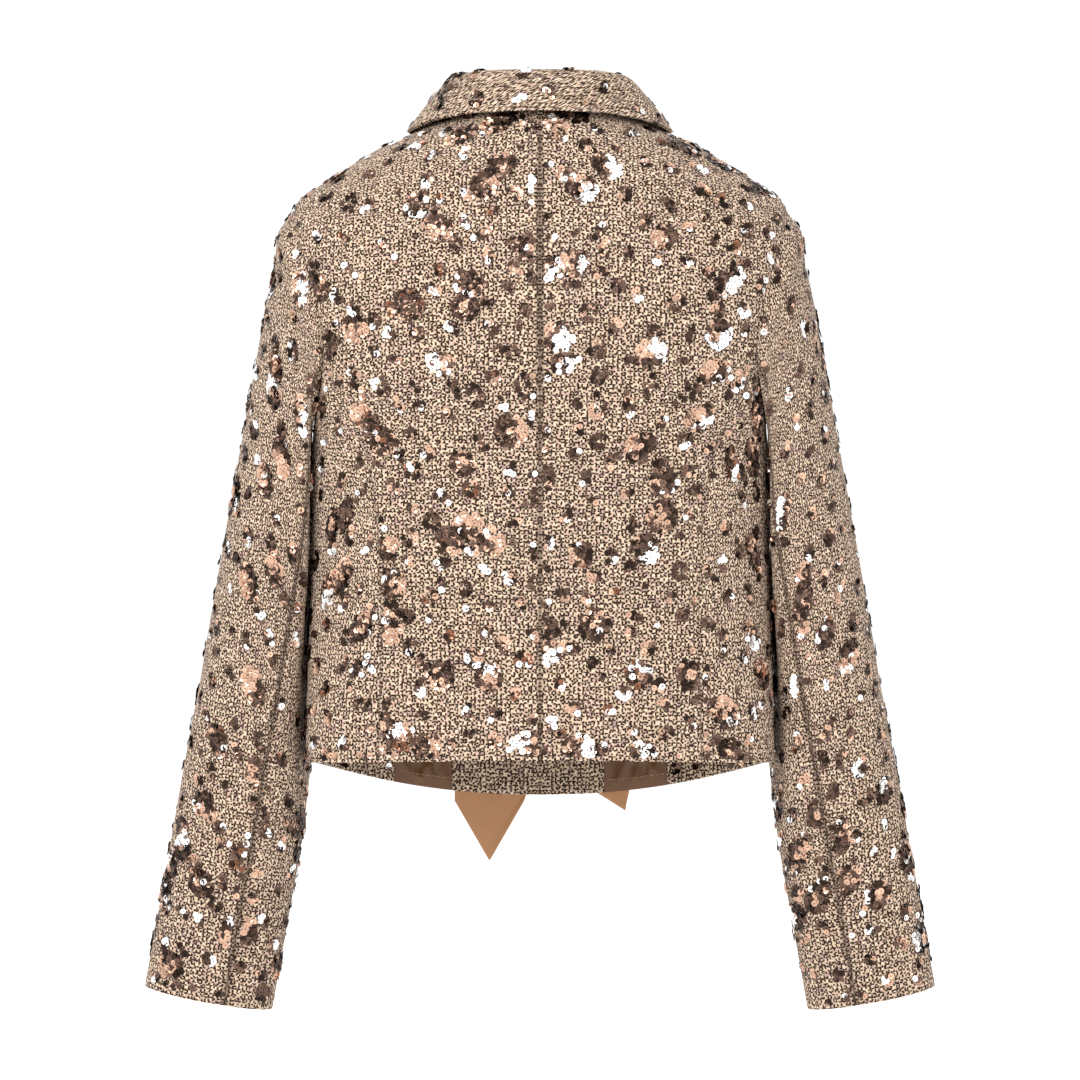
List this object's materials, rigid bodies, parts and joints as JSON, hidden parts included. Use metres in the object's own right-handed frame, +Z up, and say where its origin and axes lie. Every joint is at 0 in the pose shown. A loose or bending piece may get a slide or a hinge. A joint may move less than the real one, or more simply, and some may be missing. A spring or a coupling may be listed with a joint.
{
  "type": "cropped blazer",
  "caption": "Cropped tailored jacket in sequinned basket-weave tweed with a notched collar, princess seams, long two-piece sleeves and a satin ribbon bow; hollow, as worn.",
  "frame": {"origin": "middle of the neck, level with the lower edge of the collar's stand at the back", "axes": "+Z up the body towards the collar, +Y out of the wearer's front, +X to the wearer's right"},
  "size_m": [0.6208, 0.2215, 0.7339],
  "materials": {
    "sequinned_tweed": "thick basket-weave tweed in cream, beige and pink yarns over dark brown, with scattered bronze, rose and pale sequins in small groups and round flowers",
    "plain_tweed": "the same basket-weave tweed with no sequins",
    "satin_lining": "soft brown satin",
    "satin_ribbon": "tan satin ribbon"
  },
  "bodies": {
    "root": {"back_centre_right": "sequinned_tweed", "back_centre_left": "sequinned_tweed", "back_side_right": "sequinned_tweed", "back_side_left": "sequinned_tweed", "front_centre_right": "sequinned_tweed", "front_centre_left": "sequinned_tweed", "front_side_right": "sequinned_tweed", "front_side_left": "sequinned_tweed", "sleeve_top_right": "sequinned_tweed", "sleeve_top_left": "sequinned_tweed", "sleeve_under_right": "sequinned_tweed", "sleeve_under_left": "sequinned_tweed", "lapel_right": "sequinned_tweed", "lapel_left": "sequinned_tweed", "collar_stand": "sequinned_tweed", "collar_fall": "sequinned_tweed", "front_facing_left": "plain_tweed", "front_lining_left": "satin_lining", "hem_turnup_left": "sequinned_tweed", "front_facing_right": "plain_tweed", "front_lining_right": "satin_lining", "hem_turnup_right": "sequinned_tweed", "ribbon_knot": "satin_ribbon", "ribbon_loop_right": "satin_ribbon", "ribbon_loop_left": "satin_ribbon", "ribbon_tail_long": "satin_ribbon", "ribbon_tail_short": "satin_ribbon"}
  },
  "joints": []
}
